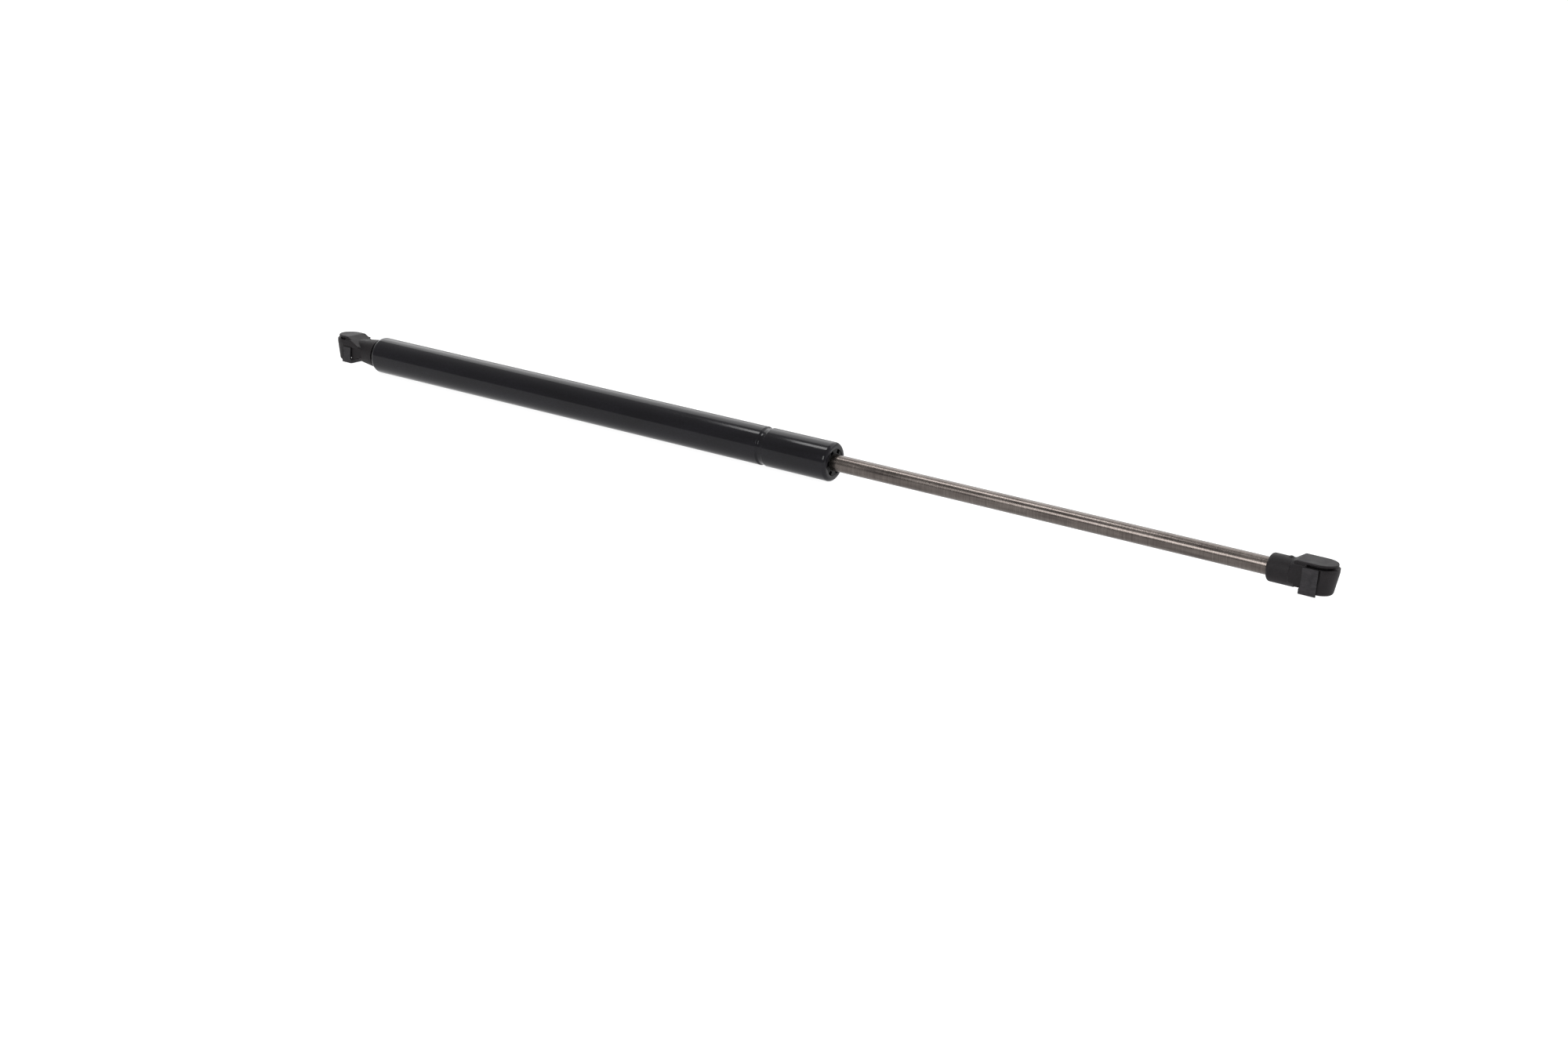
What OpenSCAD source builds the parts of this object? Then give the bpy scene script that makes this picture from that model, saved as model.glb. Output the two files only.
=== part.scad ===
// Gas strut with a push-fit ball socket at each end, shown fully extended.
// The strut lies along X. The origin is the centre of the tube socket's ball.
// +X runs to the rod socket, and both sockets open downwards, along -Z.

/* [Pressure tube] */
// Outer diameter of the pressure tube
tube_d = 19; // [17:0.5:28]
// Wall of the pressure tube
tube_wall = 1; // [0.8:0.1:1.4]
// Length of the pressure tube beyond the rod's travel
tube_spare = 81; // [78:1:120]
// Corner radius where the tube is rolled over its plug
tail_corner = 3.2; // [1:0.1:3.6]
// Corner radius where the tube is rolled over the guide
mouth_corner = 1.8; // [1:0.1:2.5]
// Distance from the rod end of the tube to the middle of its rolled bead
bead_back = 37.4; // [34:0.2:60]
// Depth of the rolled bead
bead_depth = 0.75; // [0.4:0.05:0.9]
// Radius of the wheel that rolls the bead
bead_wheel_r = 2.6; // [2:0.1:4]

/* [Piston rod] */
// Diameter of the piston rod
rod_d = 8; // [6:0.5:9]
// Travel of the rod
stroke = 205; // [140:1:260]
// Length of rod that still shows when the strut is fully closed
rod_spare = 10.6; // [8:0.1:20]
// Thread diameter on the rod and on the tube stud
thread_d = 6; // [5:0.5:7]
// Gap between the end of each thread and the bottom of its hole
thread_end_gap = 0.3; // [0.1:0.1:1]

/* [Guide and seal] */
// Diameter of the hole in the tube's rolled rod end
mouth_d = 13; // [11:0.2:14]
// Thickness of the wiper cap behind the rolled rim
wiper_len = 3.4; // [3:0.1:5]
// How far the wiper cap's toothed nose stands into the rolled rim
wiper_nose = 0.7; // [0.3:0.1:0.9]
// Teeth on the nose of the wiper cap
wiper_teeth = 6; // [3:1:8]
// Length of the guide bush
guide_len = 8; // [5:0.2:12]
// Length of the rod seal
seal_len = 5.5; // [4:0.1:7]
// Thickness of the washer that backs the seal
seal_washer_t = 1.2; // [0.8:0.1:2]
// How far the stop sleeve's nose reaches past the bead
stop_reach = 3; // [2.8:0.1:5]

/* [Piston] */
// Thickness of the washer that meets the stop sleeve
stop_washer_t = 1.5; // [1:0.1:3]
// Length of the piston
piston_len = 8; // [6:0.1:12]
// Width of the piston ring
ring_w = 2.6; // [2:0.1:4]
// Depth of the piston ring's groove
ring_depth = 1.3; // [0.9:0.1:2]
// Gas ports drilled through the piston
port_count = 4; // [2:1:8]
// Diameter of each gas port
port_d = 1.2; // [0.6:0.1:1.6]
// Thickness of the orifice disc
disc_t = 0.8; // [0.4:0.1:1.2]
// Length of the riveted nut that holds the piston
rivet_len = 3.5; // [2.5:0.1:6]

/* [End plug] */
// Length of the plug in the closed end of the tube
plug_len = 10; // [8:0.2:14]
// Cord diameter of the plug's O-ring
oring_cord = 1.8; // [1.4:0.1:2.2]

/* [Ball sockets] */
// Diameter of the ball that each socket takes
ball_d = 10; // [8:0.5:10]
// Gap between the ball and its seat, all round
ball_gap = 0.05; // [0.02:0.01:0.08]
// Width of a socket's head
head_w = 15; // [14.6:0.1:18]
// Height of the head above the ball's centre
head_top = 7.4; // [7:0.1:8]
// Height of the head below the ball's centre
head_base = 6.6; // [6:0.1:8]
// Rounding of the head's top edge
head_round = 1.6; // [1:0.1:2.4]
// Radius of the head's tip at its lower end
chin_r = 6.2; // [6.2:0.1:7]
// Rounding of the tip's lower edge
chin_round = 2; // [0.5:0.1:2.8]
// Length of the head from the ball's centre back to its shoulder
head_back = 9.4; // [9.2:0.1:12]
// Distance from the ball's centre back to where the tube socket's top slopes down
tube_slope_back = 3; // [1:0.1:6]
// Length of the rod socket from the ball's centre to its neck end
rod_neck_len = 22.4; // [21.6:0.1:28]
// Length of the tube socket from the ball's centre to its neck end
tube_neck_len = 20.2; // [20.2:0.1:28]
// Diameter of the sockets' necks behind the head
neck_d = 12.6; // [12:0.1:14]
// Diameter of the tube socket's neck at the tube
tube_neck_d = 15.2; // [13:0.1:17]
// Gap between the tube socket's neck and the tube
neck_gap = 0.8; // [0.2:0.1:1]
// Rounding of the rod socket's neck end
neck_round = 1.5; // [0.5:0.1:2]
// Wall left between a neck's end and its threaded insert
insert_wall = 0.8; // [0.5:0.1:1.5]
// Outer diameter of the threaded inserts
insert_d = 8.8; // [8.4:0.1:9.2]

/* [Safety clips] */
// Thickness of the clips' spring steel
clip_t = 0.8; // [0.6:0.1:0.9]
// Travel of a clip from locked to released
clip_travel = 3.5; // [3:0.1:3.8]
// How far the clip's long leg reaches past the ball's centre
leg_reach = 1; // [0:0.1:1.6]
// Length of the clip's short leg above its finger
short_leg = 6; // [4:0.1:6.2]
// Height of the short leg's top above the ball's centre
short_leg_top = 2; // [1:0.1:4]
// Width of each locking finger
finger_w = 2; // [1:0.1:2.5]
// Distance between the tips of the two locking fingers
finger_span = 8.2; // [7.4:0.1:8.4]
// Clearance round the clip in its slots
clip_gap = 0.15; // [0.1:0.05:0.3]
// Height of the pry slot above the long leg
slit_h = 1; // [0.5:0.1:1.2]
// Depth of the pry slot
slit_depth = 2.6; // [1:0.1:3]
// Thickness of the head's top above the pry slot
slit_cover = 1; // [0.8:0.1:1.4]

/* [Fits] */
// Radial clearance of a sliding fit
slide_gap = 0.05; // [0.02:0.01:0.08]
// Radial clearance of a part that is pressed or rolled in
seat_gap = 0.03; // [0.01:0.01:0.06]

/* [Hidden] */
$fn = 96;

// An amount by which a cutting shape runs past what it cuts
past = 1;

// Wall of the end plug's boss round the stud
boss_wall = 2;
// Metal left in the end plug behind the stud's hole
plug_floor = 2;

// Radii of the tube and rod
tube_r = tube_d / 2;
bore_r = tube_r - tube_wall;
seat_r = bore_r - seat_gap;
rod_r = rod_d / 2;
rod_hole_r = rod_r + slide_gap;
thread_r = thread_d / 2;
mouth_r = mouth_d / 2;

// Where each piece starts and ends along the strut
tube_x0 = tube_neck_len + neck_gap;
tube_x1 = tube_x0 + stroke + tube_spare;
wiper_x1 = tube_x1 - tube_wall;
guide_x1 = wiper_x1 - wiper_len;
seal_x1 = guide_x1 - guide_len;
seal_washer_x1 = seal_x1 - seal_len;
sleeve_x1 = seal_washer_x1 - seal_washer_t;
rod_socket_x0 = tube_x1 + stroke + rod_spare;
rod_ball_x = rod_socket_x0 + rod_neck_len;
plug_x0 = tube_x0 + tube_wall;
plug_hole_r = thread_r + boss_wall;

// The rolled bead: a wheel presses the wall in, and the bore follows it
bead_x = tube_x1 - bead_back;
bead_centre_r = tube_r + bead_wheel_r - bead_depth;
bead_bore_r = bead_wheel_r + tube_wall;
bead_inner_r = bead_centre_r - bead_bore_r;
bead_half_w = sqrt(pow(bead_bore_r, 2) - pow(bead_centre_r - seat_r, 2));
sleeve_nose_r = bead_inner_r - 2 * slide_gap;
sleeve_shoulder_x = bead_x + bead_half_w + slide_gap;
sleeve_x0 = bead_x - stop_reach;

// The piston, from the face that meets the stop sleeve
piston_face_x = sleeve_x0 - 2 * slide_gap;
piston_x1 = piston_face_x - stop_washer_t;
piston_x0 = piston_x1 - piston_len;
disc_x0 = piston_x0 - disc_t;
rivet_x0 = disc_x0 - rivet_len;
piston_r = bore_r - 4 * slide_gap;
ring_r = bore_r - slide_gap;
ring_mid_x = (piston_x0 + piston_x1) / 2;
spigot_r = thread_r;
port_pitch_r = (spigot_r + piston_r - ring_depth) / 2;
rivet_wall = 1.4;
rivet_r = spigot_r + rivet_wall;

// The ball seat and the head round it
ball_seat_r = ball_d / 2 + ball_gap;
lead_in = 0.3;
seat_relief = 0.2;
head_r = head_w / 2;
neck_r = neck_d / 2;
shoulder_rise = 3;
neck_inset = 0.4;
neck_overlap = 2;
shoulder_angle = 27;
neck_reach = head_back + shoulder_rise;

// The safety clip's places: its base, legs and fingers
base_back = 0.95;
finger_top = -3.6;
finger_low = finger_top - clip_t;
seat_wall_end = finger_top + clip_gap;
clip_base_x1 = -(ball_seat_r + base_back);
clip_base_x0 = clip_base_x1 - clip_t;
leg_tip_x = leg_reach;
finger_x1 = -0.4;
finger_x0 = finger_x1 - finger_w;
short_tip_x = clip_base_x0 + short_leg;
slot_back = clip_base_x0 - clip_travel - clip_gap;
clip_out = head_r + 0.1;
clip_in = clip_out - clip_t;
clip_low = -(head_base - 0.1);
base_top = finger_low;
slit_low = head_top - slit_cover - slit_h;
long_leg_top = slit_low - 0.1;
slit_end_y = 2.4;
slit_long = 4.6;
slit_short = 1.6;

// The threaded inserts sit between the neck's end and the clip's slot
slot_wall = 1.6;
insert_end_x = clip_base_x0 - clip_travel - slot_wall;
insert_r = insert_d / 2;

// A bar along X from x0 to x1 with its two edges rounded
module round_bar(x0, x1, r, round0, round1) {
    rotate([0, 90, 0])
        rotate([0, 0, 90])
            rotate_extrude()
                round_outline(x0, x1, r, round0, round1);
}

// Half of a bar's section, with a quarter circle at each outer corner
module round_outline(x0, x1, r, round0, round1) {
    mid = (x0 + x1) / 2;
    translate([0, x0])
        square([r - round0, mid - x0]);
    translate([0, mid])
        square([r - round1, x1 - mid]);
    translate([0, x0 + round0])
        square([r, x1 - x0 - round0 - round1]);
    corner_disc(r - round0, x0 + round0, round0);
    corner_disc(r - round1, x1 - round1, round1);
}

module corner_disc(cx, cy, r) {
    if (r > 0)
        translate([cx, cy])
            circle(r = r);
}

// A plain bar, a ring and a cone along X
module bar(x0, x1, r) {
    translate([x0, 0, 0])
        rotate([0, 90, 0])
            cylinder(r = r, h = x1 - x0);
}

module ring(x0, x1, r_out, r_in) {
    difference() {
        bar(x0, x1, r_out);
        bar(x0 - past, x1 + past, r_in);
    }
}

module taper(x0, x1, r0, r1) {
    translate([x0, 0, 0])
        rotate([0, 90, 0])
            cylinder(r1 = r0, r2 = r1, h = x1 - x0);
}

// A ring of round section, centred on the strut's axis
module round_ring(x, centre_r, section_r) {
    translate([x, 0, 0])
        rotate([0, 90, 0])
            rotate_extrude()
                translate([centre_r, 0])
                    circle(r = section_r);
}

// A block between two corners
module block(low, high) {
    translate(low)
        cube(high - low);
}

// Drawn steel tube, rolled over its plug and its guide, with a rolled bead
module pressure_tube() {
    color([0.06, 0.06, 0.07])
        difference() {
            union() {
                difference() {
                    round_bar(tube_x0, tube_x1, tube_r, tail_corner, mouth_corner);
                    round_bar(
                        tube_x0 + tube_wall, tube_x1 - tube_wall, bore_r,
                        tail_corner - tube_wall, mouth_corner - tube_wall
                    );
                }
                intersection() {
                    round_ring(bead_x, bead_centre_r, bead_bore_r);
                    bar(bead_x - 2 * bead_bore_r, bead_x + 2 * bead_bore_r, bore_r + tube_wall / 2);
                }
            }
            round_ring(bead_x, bead_centre_r, bead_wheel_r);
            bar(tube_x0 - past, plug_x0 + past, plug_hole_r);
            bar(wiper_x1 - past, tube_x1 + past, mouth_r);
        }
}

// Steel plug in the closed end, with a boss through the rolled end and an O-ring groove
module end_plug() {
    groove_r = bore_r - oring_cord;
    groove_x = plug_x0 + plug_len / 2;
    groove_half = 0.62 * oring_cord;
    color([0.62, 0.63, 0.65])
        difference() {
            union() {
                round_bar(plug_x0, plug_x0 + plug_len, seat_r, tail_corner - tube_wall, 0.6);
                bar(tube_x0, plug_x0 + past, plug_hole_r - seat_gap);
            }
            ring(groove_x - groove_half, groove_x + groove_half, tube_r, groove_r);
            bar(tube_x0 - past, plug_x0 + plug_len - plug_floor, thread_r);
        }
}

// Rubber O-ring that seals the plug in the tube
module end_plug_seal() {
    cord_r = oring_cord / 2 - 0.01;
    color([0.05, 0.05, 0.05])
        round_ring(plug_x0 + plug_len / 2, bore_r - oring_cord / 2, cord_r);
}

// Threaded stud that joins the tube to its ball socket
module tube_stud() {
    stud_x0 = thread_end_gap - insert_end_x;
    stud_x1 = plug_x0 + plug_len - plug_floor;
    color([0.7, 0.71, 0.73])
        round_bar(stud_x0, stud_x1, thread_r, 0.6, 0.2);
}

// Section of the head's tip, which narrows to a rounded chin
module tip_section() {
    chin_z = chin_round - head_base;
    intersection() {
        rounded_head_section();
        union() {
            polygon([
                [0, head_top],
                [head_r, head_top],
                [head_r, head_top / 2],
                [chin_r, chin_z],
                [0, chin_z]
            ]);
            translate([0, -head_base])
                square([chin_r - chin_round, chin_round]);
            translate([chin_r - chin_round, chin_z])
                circle(r = chin_round);
        }
    }
}

// Section of a socket's head, from its middle to its side
module head_section() {
    union() {
        translate([0, -head_base + head_round / 2])
            square([head_r, head_top + head_base - 1.5 * head_round]);
        translate([0, -head_base])
            square([head_r - head_round / 2, head_top + head_base]);
        translate([head_r - head_round / 2, -head_base + head_round / 2])
            circle(r = head_round / 2);
    }
}

// Section with its top edge rounded
module rounded_head_section() {
    difference() {
        head_section();
        difference() {
            translate([head_r - head_round, head_top - head_round])
                square([head_round + past, head_round + past]);
            translate([head_r - head_round, head_top - head_round])
                circle(r = head_round);
        }
    }
}

// The head: a round tip, straight sides and a shoulder that runs into the neck
module head_body() {
    rotate_extrude()
        tip_section();
    intersection() {
        rotate([90, 0, -90])
            linear_extrude(height = neck_reach)
                union() {
                    rounded_head_section();
                    mirror([1, 0])
                        rounded_head_section();
                }
        union() {
            taper(-neck_reach, -head_back, neck_r - neck_inset, head_r + shoulder_rise);
            bar(-head_back, past, 2 * head_r);
        }
    }
}

// The seat: a half ball over a short bore, and a cone that leads the ball in
module ball_seat() {
    rotate_extrude()
        union() {
            translate([0, seat_wall_end])
                square([ball_seat_r, -seat_wall_end]);
            intersection() {
                circle(r = ball_seat_r);
                square([ball_seat_r, ball_seat_r]);
            }
            polygon([
                [0, -head_base - past],
                [ball_seat_r + lead_in, -head_base - past],
                [ball_seat_r + lead_in, -head_base],
                [ball_seat_r + seat_relief, finger_low - clip_gap],
                [ball_seat_r + seat_relief, seat_wall_end],
                [0, seat_wall_end]
            ]);
        }
}

// The slots that the clip slides in, open at the bottom and to the neck
module clip_slots() {
    block(
        [slot_back, -head_r - past, -head_base - past],
        [clip_base_x1 + clip_gap, head_r + past, base_top + clip_gap]
    );
    block(
        [-neck_reach, -head_r - past, -head_base - past],
        [leg_tip_x + 4 * clip_gap, -clip_in + clip_gap, slit_low + 0.01]
    );
    block(
        [-neck_reach, clip_in - clip_gap, -head_base - past],
        [short_tip_x + 2 * clip_gap, head_r + past, short_leg_top + clip_gap]
    );
    block(
        [-neck_reach, clip_in - clip_gap, -head_base - past],
        [finger_x1 + 2 * clip_gap, head_r + past, base_top + clip_gap]
    );
    block(
        [finger_x0 - clip_travel - clip_gap, -head_r - past, finger_low - clip_gap],
        [finger_x1 + clip_gap, head_r + past, finger_top + clip_gap]
    );
}

// The pry slot under the head's top, on both sides of the tip
module pry_slots() {
    intersection() {
        difference() {
            translate([0, 0, slit_low])
                cylinder(r = 2 * head_r, h = slit_h);
            cylinder(r = head_r - slit_depth, h = 2 * head_top);
            block(
                [-2 * head_r, -head_r + slit_depth, 0],
                [0, head_r - slit_depth, 2 * head_top]
            );
        }
        union() {
            block([-slit_long, -2 * head_r, 0], [2 * head_r, -slit_end_y, 2 * head_top]);
            block([-slit_short, slit_end_y, 0], [2 * head_r, 2 * head_r, 2 * head_top]);
        }
    }
}

// The threaded insert's pocket, with the thread's own hole through the neck's end
module insert_pocket(neck_len) {
    bar(-neck_len + insert_wall, insert_end_x, insert_r);
    bar(-neck_len - past, insert_end_x, thread_r + seat_gap);
}

// What is cut off the top of the head, from slope_x back and down to the neck
module shoulder_slope(slope_x) {
    translate([slope_x, 0, head_top])
        rotate([0, -shoulder_angle, 0])
            block([-2 * neck_reach, -head_r - past, 0], [0, head_r + past, neck_reach]);
}

// A moulded ball socket: the neck is passed in as the child
module socket_housing(neck_len, slope_x) {
    nub_x = -13.6;
    nub_r = 1.8;
    nub_proud = 0.55;
    color([0.17, 0.165, 0.17])
        difference() {
            union() {
                difference() {
                    head_body();
                    shoulder_slope(slope_x);
                    block(
                        [-neck_reach - past, -head_r - past, -head_base - past],
                        [slot_back + past, head_r + past, -neck_r / 2]
                    );
                }
                children();
                translate([nub_x, 0, neck_r - nub_r + nub_proud])
                    sphere(r = nub_r);
            }
            ball_seat();
            clip_slots();
            pry_slots();
            insert_pocket(neck_len);
        }
}

// Threaded metal insert with two rings that lock it in the plastic
module socket_insert(neck_len) {
    x0 = -neck_len + insert_wall;
    mid = (x0 + insert_end_x) / 2;
    groove_offset = 1.8;
    groove_r = 1;
    color([0.72, 0.6, 0.32])
        difference() {
            bar(x0, insert_end_x, insert_r);
            bar(x0 - past, insert_end_x + past, thread_r);
            for (side = [-1, 1])
                round_ring(mid + side * groove_offset, insert_r + groove_r / 2, groove_r);
        }
}

// Spring-steel clip: a base behind the ball, a long and a short leg, and two fingers
module socket_clip() {
    color([0.3, 0.31, 0.33])
        union() {
            block([clip_base_x0, -clip_in, clip_low], [clip_base_x1, clip_in, base_top]);
            clip_bend(-1);
            clip_bend(1);
            block([clip_base_x1, -clip_out, clip_low], [leg_tip_x, -clip_in, long_leg_top]);
            block([clip_base_x1, clip_in, clip_low], [short_tip_x, clip_out, short_leg_top]);
            block([clip_base_x1, clip_in, clip_low], [finger_x1, clip_out, finger_top]);
            block([finger_x0, -clip_in, finger_low], [finger_x1, -finger_span / 2, finger_top]);
            block([finger_x0, finger_span / 2, finger_low], [finger_x1, clip_in, finger_top]);
        }
}

// The rounded corner between the clip's base and one leg
module clip_bend(side) {
    intersection() {
        translate([clip_base_x1, side * clip_in, clip_low])
            cylinder(r = clip_t, h = base_top - clip_low);
        block(
            [clip_base_x0 - past, -clip_out - past, clip_low - past],
            [clip_base_x1 + 0.01, clip_out + past, base_top + past]
        );
    }
}

// Places a socket's piece at the tube's end, turned so that its tip points to -X
module at_tube_end() {
    rotate([0, 0, 180])
        children();
}

module at_rod_end() {
    translate([rod_ball_x, 0, 0])
        children();
}

module tube_socket_housing() {
    at_tube_end()
        socket_housing(tube_neck_len, -tube_slope_back) {
            taper(-tube_neck_len, -head_back + neck_overlap, tube_neck_d / 2, neck_r - neck_inset);
        }
}

module tube_socket_insert() {
    at_tube_end()
        socket_insert(tube_neck_len);
}

module tube_socket_clip() {
    at_tube_end()
        socket_clip();
}

module rod_socket_housing() {
    at_rod_end()
        socket_housing(rod_neck_len, -head_back) {
            round_bar(-rod_neck_len, -head_back + neck_overlap, neck_r, neck_round, 0);
        }
}

module rod_socket_insert() {
    at_rod_end()
        socket_insert(rod_neck_len);
}

module rod_socket_clip() {
    at_rod_end()
        socket_clip();
}

// Plastic cap behind the rolled rim: its toothed nose wipes the rod
module wiper_cap() {
    nose_r = mouth_r - 2 * seat_gap;
    tooth_gap = 2.4;
    tooth_root = 0.5;
    gap_depth = 2.4;
    color([0.1, 0.1, 0.1])
        difference() {
            union() {
                round_bar(guide_x1, wiper_x1, seat_r, 0.3, mouth_corner - tube_wall);
                bar(wiper_x1 - past, wiper_x1 + wiper_nose, nose_r);
            }
            bar(guide_x1 - past, tube_x1, rod_hole_r);
            for (i = [0:wiper_teeth - 1])
                rotate([i * 360 / wiper_teeth, 0, 0])
                    block(
                        [wiper_x1 - gap_depth, rod_r + tooth_root, -tooth_gap / 2],
                        [tube_x1 + past, mouth_r, tooth_gap / 2]
                    );
        }
}

// Bush that guides the rod at the mouth of the tube
module rod_guide() {
    color([0.5, 0.43, 0.33])
        difference() {
            round_bar(seal_x1, guide_x1, seat_r, 0.4, 0.4);
            bar(seal_x1 - past, guide_x1 + past, rod_hole_r);
        }
}

// Rubber lip seal: a hollow between its two lips lets the gas press them out
module rod_seal() {
    lip_mid_r = (rod_hole_r + seat_r) / 2;
    hollow_depth = 2.6;
    hollow_half = 0.7;
    color([0.04, 0.04, 0.04])
        difference() {
            round_bar(seal_washer_x1, seal_x1, seat_r, 0.4, 0.4);
            bar(seal_washer_x1 - past, seal_x1 + past, rod_hole_r);
            ring(
                seal_washer_x1 - past, seal_washer_x1 + hollow_depth,
                lip_mid_r + hollow_half, lip_mid_r - hollow_half
            );
        }
}

// Steel washer that holds the seal's back
module seal_washer() {
    color([0.66, 0.67, 0.69])
        ring(sleeve_x1, seal_washer_x1, seat_r, rod_r + 3 * slide_gap);
}

// Sleeve between the bead and the seal: its nose stops the piston
module stop_sleeve() {
    color([0.78, 0.77, 0.72])
        difference() {
            union() {
                bar(sleeve_shoulder_x, sleeve_x1, seat_r);
                round_bar(sleeve_x0, sleeve_x1, sleeve_nose_r, 0.4, 0);
            }
            bar(sleeve_x0 - past, sleeve_x1 + past, rod_r + 6 * slide_gap);
        }
}

// Ring that the tube's wall grips, and that the piston turns in
module piston_ring() {
    groove_r = piston_r - ring_depth;
    color([0.86, 0.85, 0.8])
        ring(
            ring_mid_x - ring_w / 2 + slide_gap, ring_mid_x + ring_w / 2 - slide_gap,
            ring_r, groove_r + slide_gap
        );
}

// Piston with a groove for its ring and drilled gas ports
module piston() {
    groove_r = piston_r - ring_depth;
    color([0.55, 0.56, 0.58])
        difference() {
            round_bar(piston_x0, piston_x1, piston_r, 0.5, 0.5);
            ring(ring_mid_x - ring_w / 2, ring_mid_x + ring_w / 2, tube_r, groove_r);
            bar(piston_x0 - past, piston_x1 + past, spigot_r);
            for (i = [0:port_count - 1])
                rotate([i * 360 / port_count, 0, 0])
                    translate([0, port_pitch_r, 0])
                        bar(piston_x0 - past, piston_x1 + past, port_d / 2);
        }
}

// Thin disc that meters the gas through the piston
module orifice_disc() {
    color([0.75, 0.76, 0.78])
        difference() {
            ring(disc_x0, piston_x0, piston_r - ring_depth, spigot_r);
            translate([0, port_pitch_r, 0])
                bar(disc_x0 - past, piston_x0 + past, port_d / 4);
        }
}

// Washer between the piston and the rod's shoulder
module stop_washer() {
    color([0.68, 0.69, 0.71])
        ring(piston_x1, piston_face_x, piston_r - ring_depth, spigot_r);
}

// Collar riveted on the end of the rod
module piston_rivet() {
    color([0.6, 0.61, 0.63])
        difference() {
            round_bar(rivet_x0, disc_x0, rivet_r, 0.5, 0);
            bar(rivet_x0 - past, disc_x0 + past, spigot_r);
        }
}

// Ground and nitrided rod, with a spigot for the piston and a thread for the socket
module piston_rod() {
    stub_end = rod_ball_x + insert_end_x - thread_end_gap;
    color([0.42, 0.41, 0.4])
        union() {
            bar(rivet_x0, piston_face_x + past, spigot_r);
            bar(piston_face_x, rod_socket_x0, rod_r);
            round_bar(rod_socket_x0 - past, stub_end, thread_r, 0, 0.6);
        }
}

pressure_tube();
end_plug();
end_plug_seal();
tube_stud();
tube_socket_housing();
tube_socket_insert();
tube_socket_clip();
wiper_cap();
rod_guide();
rod_seal();
seal_washer();
stop_sleeve();
piston_ring();
piston();
orifice_disc();
stop_washer();
piston_rivet();
piston_rod();
rod_socket_housing();
rod_socket_insert();
rod_socket_clip();
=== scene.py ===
# %% [markdown]
# # A gas strut with two push-fit ball sockets
# A gas strut is a sealed steel tube full of pressed nitrogen, and a rod that slides in and out of it.
# The hard geometry arrives as a finished frame from the CAD model. This lesson turns that frame into
# something that looks made: rolled steel, ground steel, moulded nylon and sprung steel.
# Everything here is in metres, in the CAD model's own frame. The strut lies along X.

# %% Load the frame
import math

import bmesh
import bpy
from mathutils import Matrix, Vector


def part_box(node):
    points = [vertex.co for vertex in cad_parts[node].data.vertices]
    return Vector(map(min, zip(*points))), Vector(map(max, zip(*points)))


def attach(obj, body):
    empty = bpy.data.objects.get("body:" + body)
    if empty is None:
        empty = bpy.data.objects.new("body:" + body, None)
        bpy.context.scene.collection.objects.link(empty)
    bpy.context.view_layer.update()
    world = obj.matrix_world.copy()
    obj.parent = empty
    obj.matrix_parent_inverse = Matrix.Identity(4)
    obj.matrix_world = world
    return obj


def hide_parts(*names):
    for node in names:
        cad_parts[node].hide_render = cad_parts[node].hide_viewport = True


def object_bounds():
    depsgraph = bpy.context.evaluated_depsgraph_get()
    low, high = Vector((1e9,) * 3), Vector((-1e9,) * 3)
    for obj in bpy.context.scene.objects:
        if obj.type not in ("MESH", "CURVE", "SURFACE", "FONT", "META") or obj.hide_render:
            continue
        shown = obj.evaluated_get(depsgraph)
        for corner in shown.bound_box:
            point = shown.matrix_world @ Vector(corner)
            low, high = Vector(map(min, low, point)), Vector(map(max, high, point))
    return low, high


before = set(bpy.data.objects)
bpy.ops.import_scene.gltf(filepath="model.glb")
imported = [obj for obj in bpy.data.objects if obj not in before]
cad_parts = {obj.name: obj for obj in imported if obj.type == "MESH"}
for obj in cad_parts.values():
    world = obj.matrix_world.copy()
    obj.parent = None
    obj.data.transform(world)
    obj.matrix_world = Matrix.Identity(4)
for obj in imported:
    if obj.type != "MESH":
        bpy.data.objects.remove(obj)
cad_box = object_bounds()
MM = 0.001

# %% [markdown]
# ## The camera
# A long, thin object looks best from beside one end, a little above it. The camera is placed with
# plain numbers: the point it aims at, how far away it stands, how far round and how high, and a
# slight roll of the head. The aim is below the middle of the strut, which lifts it in the frame.

# %% Place the camera
AIM = Vector((281.49, 0, -35.42)) * MM
DISTANCE = 1055.8 * MM
AZIMUTH, ELEVATION, ROLL = (math.radians(a) for a in (31.562, 17.0, 4.289))
LENS_MM = 50.4
SENSOR_WIDTH_MM = 36
NEAR_CLIP = 10 * MM

back = Vector(
    (
        math.sin(AZIMUTH) * math.cos(ELEVATION),
        -math.cos(AZIMUTH) * math.cos(ELEVATION),
        math.sin(ELEVATION),
    )
)
right = Vector((math.cos(AZIMUTH), math.sin(AZIMUTH), 0))
up = back.cross(right)
side = right * math.cos(ROLL) + up * math.sin(ROLL)
top = up * math.cos(ROLL) - right * math.sin(ROLL)
eye = AIM + back * DISTANCE

camera_data = bpy.data.cameras.new("camera")
camera_data.lens = LENS_MM
camera_data.sensor_width = SENSOR_WIDTH_MM
camera_data.clip_start = NEAR_CLIP
camera = bpy.data.objects.new("camera", camera_data)
camera.matrix_world = Matrix(
    [[side[i], top[i], back[i], eye[i]] for i in range(3)] + [[0, 0, 0, 1]]
)
bpy.context.scene.collection.objects.link(camera)
bpy.context.scene.camera = camera
bpy.context.scene.view_settings.view_transform = "Standard"
print("camera at", [round(v, 4) for v in eye])

# %% [markdown]
# ## Colours and nodes
# Hex colours are written for a screen, and the shader wants linear light, so one function turns one
# into the other. One more small function adds a shader node with its settings and its links. The
# last three build on it: they mix two colours, map one range to another, and lay a colour over the
# one that a material already has. Every material below is made with these.

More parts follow.
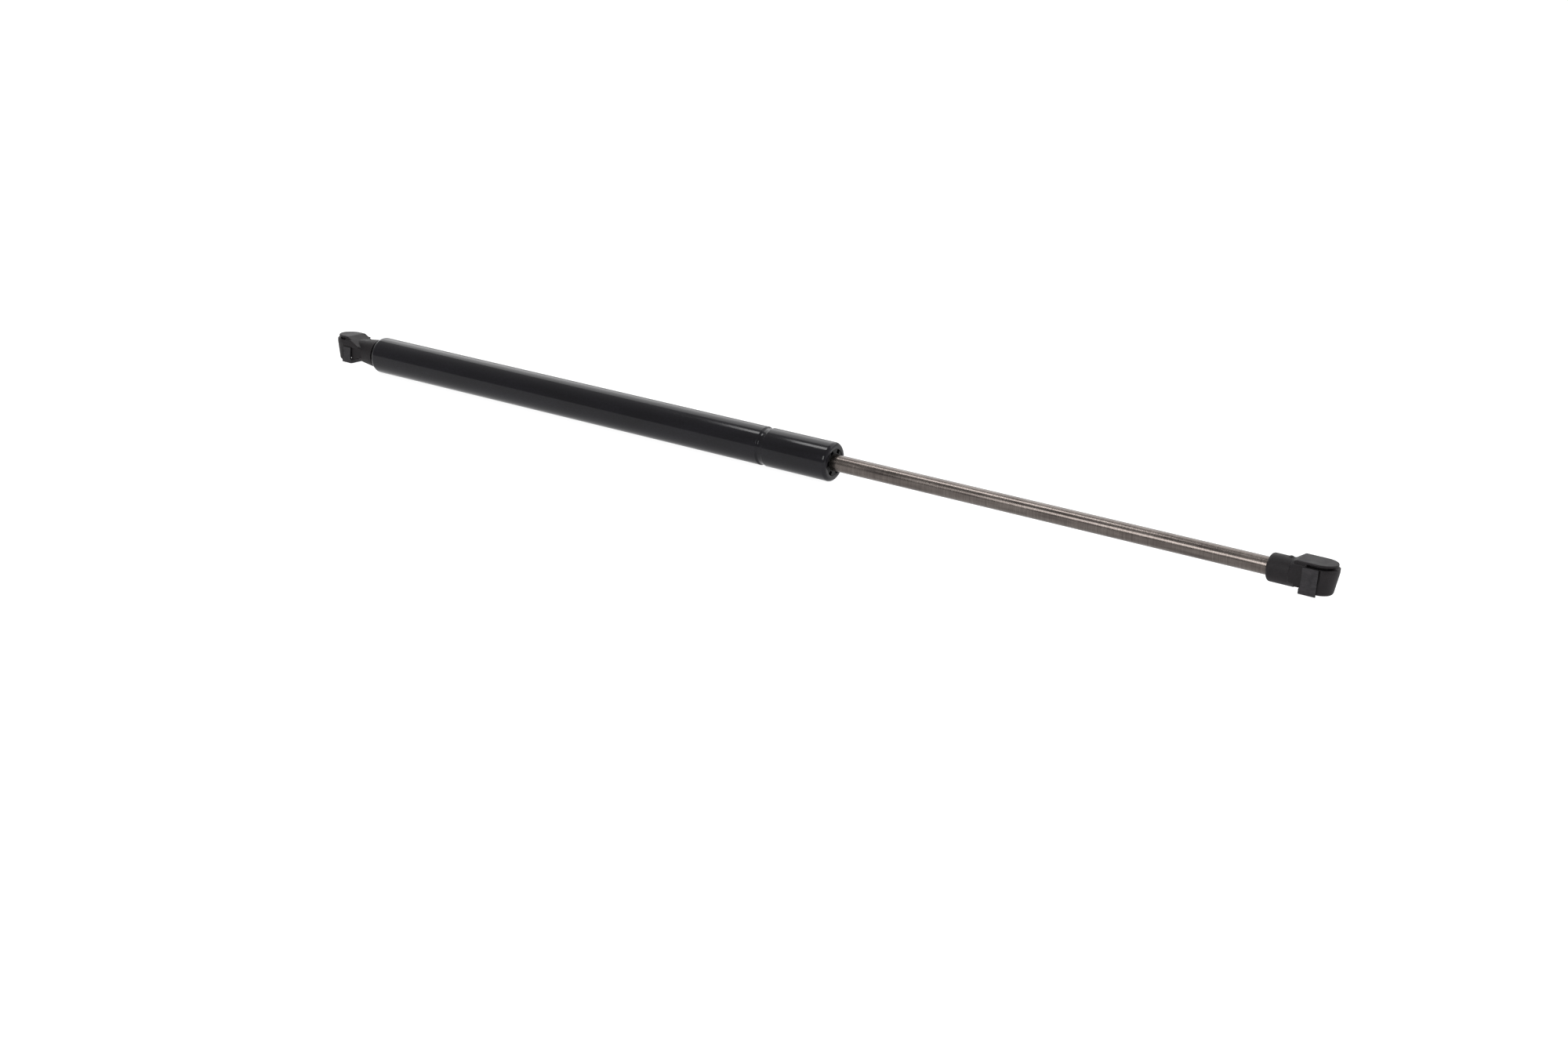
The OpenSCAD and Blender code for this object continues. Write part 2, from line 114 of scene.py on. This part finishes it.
# %% Helpers for materials
def linear(hex_colour):
    """An sRGB hex colour as linear RGBA."""
    parts = [int(hex_colour[i : i + 2], 16) / 255 for i in (1, 3, 5)]
    return [p / 12.92 if p <= 0.04045 else ((p + 0.055) / 1.055) ** 2.4 for p in parts] + [1]


def add(tree, kind, inputs=None, **settings):
    """Adds a node. An input is a value or another node's output socket."""
    made = tree.nodes.new("ShaderNode" + kind)
    for name, value in settings.items():
        setattr(made, name, value)
    for name, value in (inputs or {}).items():
        if isinstance(value, bpy.types.NodeSocket):
            tree.links.new(value, made.inputs[name])
        else:
            made.inputs[name].default_value = value
    return made


def blend(tree, amount, first, second):
    """Mixes two colours. A colour mix takes them at inputs 6 and 7, and gives output 2."""
    return add(tree, "Mix", {0: amount, 6: first, 7: second}, data_type="RGBA").outputs[2]


def remap(tree, value, low, high, at_low=0.0, at_high=1.0):
    """Turns a value from low to high into one from at_low to at_high."""
    ends = {"From Min": low, "From Max": high, "To Min": at_low, "To Max": at_high}
    return add(tree, "MapRange", {"Value": value, **ends}).outputs[0]


def lay_over(material, amount, hex_colour):
    """Covers a material's own colour with another, where the amount is above 0."""
    tree = material.node_tree
    colour = tree.nodes["Principled BSDF"].inputs["Base Color"]
    covered = blend(tree, amount, colour.links[0].from_socket, linear(hex_colour))
    tree.links.new(covered, colour)


print("sRGB #808080 is", round(linear("#808080")[0], 3), "in linear light")

# %% [markdown]
# ## One recipe for a worked surface
# Most real surfaces share a build: a colour that drifts a little, a gloss that drifts a little, and a
# fine relief. What differs is the size and direction of the marks. So the recipe takes the size of
# the marks in millimetres, along and across the strut, and the text above each material that is
# seen says why it has them. The gloss is a range of roughness, from its shiniest to its dullest.
# A pattern's size is turned to a noise scale by dividing, so it stays true to the real object.

# %% The surface recipe
FINE_DETAIL, BROAD_DETAIL = 3, 2
COLOUR_SPREAD = (0.12, 0.42)
GLOSS_SPREAD = (0.3, 0.7)


def worked_surface(name, dark, light, marks, relief, gloss, patches=(9, 9), **constants):
    """marks and patches are (along, across) in mm, relief is a depth in mm, gloss is a range."""
    material = bpy.data.materials.new(name)
    material.use_nodes = True
    tree = material.node_tree
    shader = tree.nodes["Principled BSDF"]
    for socket, value in constants.items():
        shader.inputs[socket.replace("_", " ")].default_value = value
    where = add(tree, "TexCoord").outputs["Object"]

    def noise(size, detail):
        along, across = (1 / (MM * s) for s in size)
        stretched = add(tree, "Mapping", {"Vector": where, "Scale": (along, across, across)})
        inputs = {"Vector": stretched.outputs[0], "Scale": 1, "Detail": detail}
        return add(tree, "TexNoise", inputs).outputs[0]

    fine, broad = noise(marks, FINE_DETAIL), noise(patches, BROAD_DETAIL)
    drift = add(tree, "Math", {0: fine, 1: broad}, operation="MULTIPLY").outputs[0]
    colour = blend(tree, remap(tree, drift, *COLOUR_SPREAD), linear(dark), linear(light))
    dullness = remap(tree, broad, *GLOSS_SPREAD, *gloss)
    bump = add(tree, "Bump", {"Height": fine, "Strength": 1, "Distance": relief * MM})
    tree.links.new(colour, shader.inputs["Base Color"])
    tree.links.new(dullness, shader.inputs["Roughness"])
    tree.links.new(bump.outputs[0], shader.inputs["Normal"])
    return material


print("surface recipe ready")

# %% [markdown]
# ## Baked black enamel
# The tube is drawn steel with a thin black enamel, sprayed and baked. It is close to a mirror, so
# what the eye reads is the reflection: it is broken only by a faint orange peel about a millimetre
# across, and by the odd speck of dust, a quarter of a millimetre wide. The relief is about a
# thousandth of a millimetre, because more would break up the long clean highlights.

# %% Enamel for the tube
enamel = worked_surface(
    "baked_black_enamel",
    "#1b1a1d",
    "#212025",
    marks=(1.1, 0.9),
    relief=0.0012,
    gloss=(0.085, 0.14),
    patches=(26, 7),
    Specular_IOR_Level=0.18,
)
DUST_SPACING = 3.2 * MM
SPECK_RADIUS = (0.02, 0.04)  # solid part and soft edge, as shares of the spacing

tree = enamel.node_tree
dust = add(
    tree,
    "TexVoronoi",
    {
        "Vector": add(tree, "TexCoord").outputs["Object"],
        "Scale": 1 / DUST_SPACING,
        "Randomness": 1,
    },
    feature="F1",
)
speck = remap(tree, dust.outputs["Distance"], *SPECK_RADIUS, at_low=1, at_high=0)
lay_over(enamel, speck, "#29282c")
print("enamel made, specks up to", round(2 * SPECK_RADIUS[1] * DUST_SPACING / MM, 2), "mm wide")

# %% [markdown]
# ## Ground and nitrided steel
# The rod is ground round and round to a fine finish, then nitrided in a salt bath, which leaves it
# hard and grey-brown. Grinding leaves hair-fine rings, each a fraction of a millimetre wide. They are
# drawn about a fifth of a millimetre apart, coarser than life, so that they show. The bath leaves a
# slow mottle about two centimetres long, and the oil film that a working rod carries smears it.

# %% Steel for the rod
nitrided = worked_surface(
    "ground_nitrided_steel",
    "#4c4643",
    "#6c6561",
    marks=(0.22, 9),
    relief=0.0003,
    gloss=(0.2, 0.3),
    patches=(21, 2.6),
    Metallic=0.92,
)
print("nitrided steel made")

# %% [markdown]
# ## Moulded nylon
# The sockets are black nylon filled with short glass fibre, moulded in a spark-eroded tool. The tool
# leaves a fine even grain, about a third of a millimetre, and the fibre greys the skin in slow
# patches. Edges that fingers and tools touch go a little paler. Pointiness finds those edges on a
# dense mesh, so the wear follows the shape and not the view.

# %% Nylon for the sockets
nylon = worked_surface(
    "glass_filled_nylon_moulded",
    "#1c191b",
    "#282527",
    marks=(0.34, 0.34),
    relief=0.012,
    gloss=(0.5, 0.64),
    patches=(5, 5),
    Specular_IOR_Level=0.16,
)
EDGE_SHARPNESS = (0.52, 0.62)  # a flat face has 0.5
MOST_WORN = 0.55

tree = nylon.node_tree
sharpness = add(tree, "NewGeometry").outputs["Pointiness"]
lay_over(nylon, remap(tree, sharpness, *EDGE_SHARPNESS, at_high=MOST_WORN), "#4a4748")
print("nylon made")

# %% [markdown]
# ## Blued spring steel
# The clips are stamped from thin spring strip and blued in hot oil. Rolling leaves straight hair
# lines along the strip, and the bluing is a dark skin with a steel shine under it.

# %% Steel for the clips
blued = worked_surface(
    "blued_spring_steel",
    "#29282a",
    "#3b393b",
    marks=(3.2, 0.2),
    relief=0.003,
    gloss=(0.28, 0.4),
    patches=(2.4, 2.4),
    Metallic=0.85,
)
print("blued steel made")

# %% [markdown]
# ## The parts inside
# A strut that is cut open shows a small world of its own: a zinc-plated plug and stud, turned brass
# inserts, a sintered bronze bush, rubber seals, pale slick plastics and a cast piston. They are out
# of sight, yet each gets its own finish, so that a cut-away or an exploded view looks right.

# %% Finishes for the inner parts
zinc = worked_surface(
    "zinc_plated_steel", "#a9adb0", "#c3c6c6", (0.5, 0.5), 0.003, (0.24, 0.36), Metallic=1.0
)
brass = worked_surface(
    "turned_brass", "#b08d46", "#c9a75c", (0.25, 8), 0.004, (0.2, 0.32), Metallic=1.0
)
bronze = worked_surface(
    "sintered_bronze", "#6d5a3c", "#92794f", (0.3, 0.3), 0.01, (0.4, 0.55), Metallic=0.8
)
rubber = worked_surface(
    "moulded_nitrile_rubber", "#131313", "#1d1c1c", (0.4, 0.4), 0.006, (0.55, 0.7)
)
acetal = worked_surface(
    "moulded_acetal", "#d9d7cd", "#e6e4da", (0.6, 0.6), 0.003, (0.35, 0.45)
)
slick = worked_surface(
    "skived_fluoropolymer", "#e4e2d8", "#efeee6", (0.25, 5), 0.004, (0.4, 0.5)
)
cast = worked_surface(
    "die_cast_aluminium", "#8f9294", "#a8abac", (0.8, 0.8), 0.008, (0.38, 0.5), Metallic=1.0
)
cap = worked_surface(
    "moulded_black_acetal",
    "#0b0b0c",
    "#131314",
    (0.3, 0.3),
    0.006,
    (0.5, 0.6),
    Specular_IOR_Level=0.2,
)
print("inner finishes made")

# %% [markdown]
# ## Dress the CAD nodes
# A part whose CAD shape is already right keeps it, and only takes a better material. The frame's
# own meshes are never moved or edited.

# %% Give every CAD node its finish
FINISHES = {
    zinc: ["end_plug", "tube_stud", "seal_washer", "stop_washer", "orifice_disc", "piston_rivet"],
    brass: ["tube_socket_insert", "rod_socket_insert"],
    bronze: ["rod_guide"],
    rubber: ["end_plug_seal", "rod_seal"],
    acetal: ["stop_sleeve"],
    slick: ["piston_ring"],
    cast: ["piston"],
    cap: ["wiper_cap"],
    enamel: ["pressure_tube"],
    nitrided: ["piston_rod"],
    nylon: ["tube_socket_housing", "rod_socket_housing"],
    blued: ["tube_socket_clip", "rod_socket_clip"],
}
for finish, names in FINISHES.items():
    for name in names:
        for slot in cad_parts[name].material_slots:
            slot.material = finish
print("dressed", sum(len(names) for names in FINISHES.values()), "nodes")

# %% [markdown]
# ## Turning a shape round the strut's axis
# The tube and the rod are round, so a lathe is the natural way to make them: draw half of the
# section, then turn it. A list of corner points is enough for the section. Each corner may carry a
# radius, and is then rounded with a short arc, just as a roller or a tool would leave it.

# %% A lathe with rounded corners
ARC_STEP = math.radians(9)
LEAST_TURN = 0.01  # in radians: a straighter corner is left as a point
FACETS = 144
ON_AXIS = 1e-7


def rounded_path(corners):
    """corners are (x, r, radius) in metres, in order. Gives the points with each corner rounded."""
    points = []
    for i, (x, r, radius) in enumerate(corners):
        here = Vector((x, r))
        before = Vector(corners[i - 1][:2]) - here
        after = Vector(corners[(i + 1) % len(corners)][:2]) - here
        turn = math.pi - before.angle(after)
        if radius == 0 or turn < LEAST_TURN:
            points.append(here)
            continue
        reach = radius * math.tan(turn / 2)
        start, end = here + before.normalized() * reach, here + after.normalized() * reach
        centre = here + (before.normalized() + after.normalized()).normalized() * (
            radius / math.cos(turn / 2)
        )
        steps = max(2, math.ceil(turn / ARC_STEP))
        a, b = start - centre, end - centre
        for k in range(steps + 1):
            t = k / steps
            swept = (a * math.sin((1 - t) * turn) + b * math.sin(t * turn)) / math.sin(turn)
            points.append(centre + swept)
    return points


def ring(shape, x, r):
    """The corners at one place along the X axis: a circle, or one point where the radius is nil."""
    if r < ON_AXIS:
        return [shape.verts.new((x, 0, 0))]
    angles = [2 * math.pi * k / FACETS for k in range(FACETS)]
    return [shape.verts.new((x, r * math.cos(a), r * math.sin(a))) for a in angles]


def turned(name, points, material, closed):
    """Turns a section round the X axis into a smooth mesh object."""
    shape = bmesh.new()
    rings = [ring(shape, x, r) for x, r in points]
    pairs = list(zip(rings, rings[1:])) + ([(rings[-1], rings[0])] if closed else [])
    for one, two in pairs:
        for k in range(FACETS):
            n = (k + 1) % FACETS
            if len(one) == 1:
                shape.faces.new((one[0], two[n], two[k]))
            elif len(two) == 1:
                shape.faces.new((one[k], one[n], two[0]))
            else:
                shape.faces.new((one[k], one[n], two[n], two[k]))
    bmesh.ops.recalc_face_normals(shape, faces=shape.faces)
    mesh = bpy.data.meshes.new(name)
    shape.to_mesh(mesh)
    shape.free()
    mesh.materials.append(material)
    mesh.shade_smooth()
    made = bpy.data.objects.new(name, mesh)
    bpy.context.scene.collection.objects.link(made)
    return made


print("lathe ready")

# %% [markdown]
# ## The pressure tube
# The tube starts as drawn steel with square ends. A spinning roller folds each end inwards over the
# plug and over the guide, and another wheel presses a bead all round, which holds the stop sleeve.
# The fold is a soft bend and not a sharp corner, and the bead's two lips are soft too: paint runs
# over them in one skin. So the section has a radius at every corner, and a wall behind it.

# %% Make the tube
tube_low, tube_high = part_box("pressure_tube")
tube_x0, tube_x1, tube_r = tube_low.x, tube_high.x, tube_high.z
WALL = 1.0 * MM
FOLD = 1.8 * MM
TAIL_FOLD = 3.2 * MM
PLUG_HOLE_R = 5.0 * MM
MOUTH_R = 6.5 * MM
RIM = 0.45 * MM
HOLE_EDGE = 0.3 * MM
BEAD_BACK = 37.4 * MM
BEAD_DEPTH = 0.74 * MM
BEAD_HALF = 1.9 * MM
BEAD_FLOOR_HALF = 0.56 * BEAD_HALF
BEAD_LIP = 0.28 * MM
BEAD_ROOT = 0.6 * MM
BEAD_BORE_LIP = 0.8 * MM
bead_x = tube_x1 - BEAD_BACK
bore_r = tube_r - WALL
bead_r = tube_r - BEAD_DEPTH
bead_bore_r = bore_r - BEAD_DEPTH

outside = [
    (tube_x0, PLUG_HOLE_R, HOLE_EDGE),
    (tube_x0, tube_r, TAIL_FOLD),
    (bead_x - BEAD_HALF, tube_r, BEAD_LIP),
    (bead_x - BEAD_FLOOR_HALF, bead_r, BEAD_ROOT),
    (bead_x + BEAD_FLOOR_HALF, bead_r, BEAD_ROOT),
    (bead_x + BEAD_HALF, tube_r, BEAD_LIP),
    (tube_x1, tube_r, FOLD),
    (tube_x1, MOUTH_R, RIM),
]
inside = [
    (tube_x1 - WALL, MOUTH_R, RIM),
    (tube_x1 - WALL, bore_r, FOLD - WALL),
    (bead_x + BEAD_HALF, bore_r, BEAD_BORE_LIP),
    (bead_x + BEAD_FLOOR_HALF, bead_bore_r, BEAD_ROOT),
    (bead_x - BEAD_FLOOR_HALF, bead_bore_r, BEAD_ROOT),
    (bead_x - BEAD_HALF, bore_r, BEAD_BORE_LIP),
    (tube_x0 + WALL, bore_r, TAIL_FOLD - WALL),
    (tube_x0 + WALL, PLUG_HOLE_R, HOLE_EDGE),
]
tube_shell = turned("tube_shell", rounded_path(outside + inside), enamel, closed=True)
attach(tube_shell, "cylinder")
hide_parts("pressure_tube")
print("tube", round((tube_x1 - tube_x0) / MM, 1), "mm long, faces", len(tube_shell.data.polygons))

# %% [markdown]
# ## The piston rod
# The rod is one ground bar. It is turned down to a spigot inside the tube, where the piston is
# riveted on, and to a threaded end that screws into the socket. A small chamfer breaks the edge at
# each step. The steps are where the stop washer ends and where the rod's socket begins.

# %% Make the rod
rod_low, rod_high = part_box("piston_rod")
SPIGOT_R = 3.0 * MM
CHAMFER = 0.35 * MM
EDGE = 0.12 * MM
rod_r = rod_high.z
shoulder_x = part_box("stop_washer")[1].x
neck_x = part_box("rod_socket_housing")[0].x
rod_section = [
    (rod_low.x, 0, 0),
    (rod_low.x, SPIGOT_R, CHAMFER),
    (shoulder_x, SPIGOT_R, EDGE),
    (shoulder_x, rod_r - CHAMFER, EDGE),
    (shoulder_x + CHAMFER, rod_r, EDGE),
    (neck_x - CHAMFER, rod_r, EDGE),
    (neck_x, rod_r - CHAMFER, EDGE),
    (neck_x, SPIGOT_R, 0),
    (rod_high.x, SPIGOT_R, 2 * CHAMFER),
    (rod_high.x, 0, 0),
]
rod_bar = turned("rod_bar", rounded_path(rod_section), nitrided, closed=False)
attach(rod_bar, "rod")
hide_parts("piston_rod")
print("rod", round((rod_high.x - rod_low.x) / MM, 1), "mm long")

# %% [markdown]
# ## Softening a moulded part
# A moulding never has a knife edge: the tool is milled and polished, and nylon shrinks as it cools.
# A voxel remesh turns the hard CAD solid into an even skin of small quads, and a few steps of
# smoothing then round every edge by about a tenth of a millimetre. Bevels alone would trip over the
# many small slots. Blender is happiest near size one, so the copy is worked on in millimetres.

# %% Copy, weld, skin and soften
WELD_DISTANCE = 0.002
FLAT_ANGLE = math.radians(1)
VOXEL = 0.16
SOFTEN_STEPS = 7
SOFTEN_SHARE = 0.5


def working_copy(node_name, name):
    """A copy of a CAD node's mesh in millimetres, with its split corners joined."""
    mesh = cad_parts[node_name].data.copy()
    mesh.name = name
    mesh.transform(Matrix.Scale(1 / MM, 4))
    shape = bmesh.new()
    shape.from_mesh(mesh)
    bmesh.ops.remove_doubles(shape, verts=shape.verts, dist=WELD_DISTANCE)
    bmesh.ops.dissolve_limit(
        shape, angle_limit=FLAT_ANGLE, verts=shape.verts, edges=shape.edges
    )
    shape.to_mesh(mesh)
    shape.free()
    if mesh.has_custom_normals:
        mesh.attributes.remove(mesh.attributes["custom_normal"])
    made = bpy.data.objects.new(name, mesh)
    bpy.context.scene.collection.objects.link(made)
    return made


def settle(made, material):
    """Applies the modifiers, goes back to metres and puts one material on the whole piece."""
    bpy.context.view_layer.update()
    evaluated = made.evaluated_get(bpy.context.evaluated_depsgraph_get())
    mesh = bpy.data.meshes.new_from_object(evaluated)
    made.modifiers.clear()
    mesh.transform(Matrix.Scale(MM, 4))
    mesh.materials.clear()
    mesh.materials.append(material)
    made.data = mesh
    return made


def moulded(node_name, name):
    """A CAD node's shape as a moulding, with every edge a little round."""
    made = working_copy(node_name, name)
    skin = made.modifiers.new("skin", "REMESH")
    skin.mode = "VOXEL"
    skin.voxel_size = VOXEL
    skin.use_smooth_shade = True
    soften = made.modifiers.new("soften", "SMOOTH")
    soften.factor = SOFTEN_SHARE
    soften.iterations = SOFTEN_STEPS
    settle(made, nylon)
    made.data.shade_smooth()
    return made


print("softening ready")

# %% [markdown]
# ## The two socket bodies
# Each socket is a round-nosed head with a ball seat in it, and a neck that takes the thread. The one
# at the tube's end flares to meet the tube. Both have a pry slot round the tip, where a
# screwdriver lifts the clip, and a small nub on top that stops the clip's bridge.

# %% Make the socket bodies
for node_name, name, body in (
    ("tube_socket_housing", "tube_socket_body", "cylinder"),
    ("rod_socket_housing", "rod_socket_body", "rod"),
):
    socket_body = moulded(node_name, name)
    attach(socket_body, body)
    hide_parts(node_name)
    print(name, "has", len(socket_body.data.polygons), "faces")

# %% [markdown]
# ## The two spring clips
# A clip is stamped and bent from flat strip, so its faces stay flat and its edges stay crisp: the
# press leaves only a tenth of a millimetre of rounding. A bevel on the sharp edges gives just that,
# and catches a thin line of light along each leg.

# %% Make the clips
EDGE_ROUNDING = 0.11
ROUNDING_STEPS = 3
SHARP_ANGLE = math.radians(35)


def pressed(node_name, name):
    """A CAD node's shape as a stamping, with flat faces and crisp rounded edges."""
    made = working_copy(node_name, name)
    rounding = made.modifiers.new("rounding", "BEVEL")
    rounding.width = EDGE_ROUNDING
    rounding.segments = ROUNDING_STEPS
    rounding.limit_method = "ANGLE"
    rounding.angle_limit = SHARP_ANGLE
    settle(made, blued)
    made.data.shade_smooth()
    crisp = made.modifiers.new("crisp", "WEIGHTED_NORMAL")
    crisp.keep_sharp = True
    return made


for node_name, name, body in (
    ("tube_socket_clip", "tube_spring_clip", "tube_clip"),
    ("rod_socket_clip", "rod_spring_clip", "rod_clip"),
):
    clip = pressed(node_name, name)
    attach(clip, body)
    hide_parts(node_name)
    print(name, "has", len(clip.data.polygons), "faces")

# %% [markdown]
# ## The table
# The strut lies on a sheet of matt paper that glows like a light table. The glow whitens the floor
# and lifts the tube's lower edge. The paper itself is grey, so the glow and the lights together
# reach white without washing out.

# %% Make the floor
FLOOR_HALF = 30
FLOOR_GAP = 0.02 * MM
FLOOR_GLOW = 0.95
FIBRE = 1.5 * MM
floor_z = cad_box[0].z - FLOOR_GAP
floor_mesh = bpy.data.meshes.new("floor")
corners = [(x * FLOOR_HALF, y * FLOOR_HALF, floor_z) for x, y in ((-1, -1), (1, -1), (1, 1), (-1, 1))]
floor_mesh.from_pydata(corners, [], [(0, 1, 2, 3)])
floor_paper = bpy.data.materials.new("matt_white_paper")
floor_paper.use_nodes = True
tree = floor_paper.node_tree
where = add(tree, "TexCoord").outputs["Object"]
fibre = add(tree, "TexNoise", {"Vector": where, "Scale": 1 / FIBRE}).outputs[0]
paper = tree.nodes["Principled BSDF"]
tree.links.new(
    blend(tree, fibre, linear("#8c8c8c"), linear("#949494")), paper.inputs["Base Color"]
)
paper.inputs["Roughness"].default_value = 0.9
paper.inputs["Specular IOR Level"].default_value = 0.1
paper.inputs["Emission Color"].default_value = linear("#ffffff")
paper.inputs["Emission Strength"].default_value = FLOOR_GLOW
floor_mesh.materials.append(floor_paper)
floor = bpy.data.objects.new("floor", floor_mesh)
bpy.context.scene.collection.objects.link(floor)
print("floor at", round(floor_z / MM, 2), "mm")

# %% [markdown]
# ## The lights
# A glossy black tube is mostly a picture of the room, so each light is there for one reflection. A
# wide panel high behind the strut brightens its upper edge. A small box overhead draws the thin
# bright line along the tube, and another on the near side is for the rod. These two are seen only in
# gloss, so they don't light the floor. The room is dimmer on the near side, which keeps the middle
# of the tube black.

# %% Make the lights
def panel(name, centre, towards, width, height, radiance, only_in_gloss=False):
    """A soft box: a panel of even radiance that faces a point."""
    light = bpy.data.lights.new(name, "AREA")
    light.shape = "RECTANGLE"
    light.size, light.size_y = width, height
    light.energy = radiance * math.pi * width * height
    made = bpy.data.objects.new(name, light)
    made.location = centre
    made.rotation_euler = (Vector(centre) - Vector(towards)).to_track_quat("Z", "Y").to_euler()
    made.visible_camera = False
    made.visible_diffuse = not only_in_gloss
    bpy.context.scene.collection.objects.link(made)
    return made


panel(
    "back_panel", centre=(-0.2, 1.6, 2.9), towards=(-0.2, 0, 2.9), width=7.0, height=4.4, radiance=1.6
)
panel(
    "overhead_strip",
    centre=(-0.09, -0.12, 1.0),
    towards=(-0.09, -0.12, 0),
    width=0.42,
    height=0.25,
    radiance=10,
    only_in_gloss=True,
)
panel(
    "near_box",
    centre=(0.25, -0.9, 0.45),
    towards=(0.45, 0, 0),
    width=0.62,
    height=0.34,
    radiance=8,
    only_in_gloss=True,
)

FADE_BETWEEN = (-0.7, 0.5)
NEAR_STRENGTH, FAR_STRENGTH = 0.4, 1.0
world = bpy.data.worlds.new("dim_room")
world.use_nodes = True
sky = world.node_tree
way = add(sky, "SeparateXYZ", {0: add(sky, "TexCoord").outputs["Generated"]})
room = sky.nodes["Background"]
room.inputs["Color"].default_value = linear("#ffffff")
sky.links.new(
    remap(sky, way.outputs["Y"], *FADE_BETWEEN, NEAR_STRENGTH, FAR_STRENGTH), room.inputs["Strength"]
)
bpy.context.scene.world = world
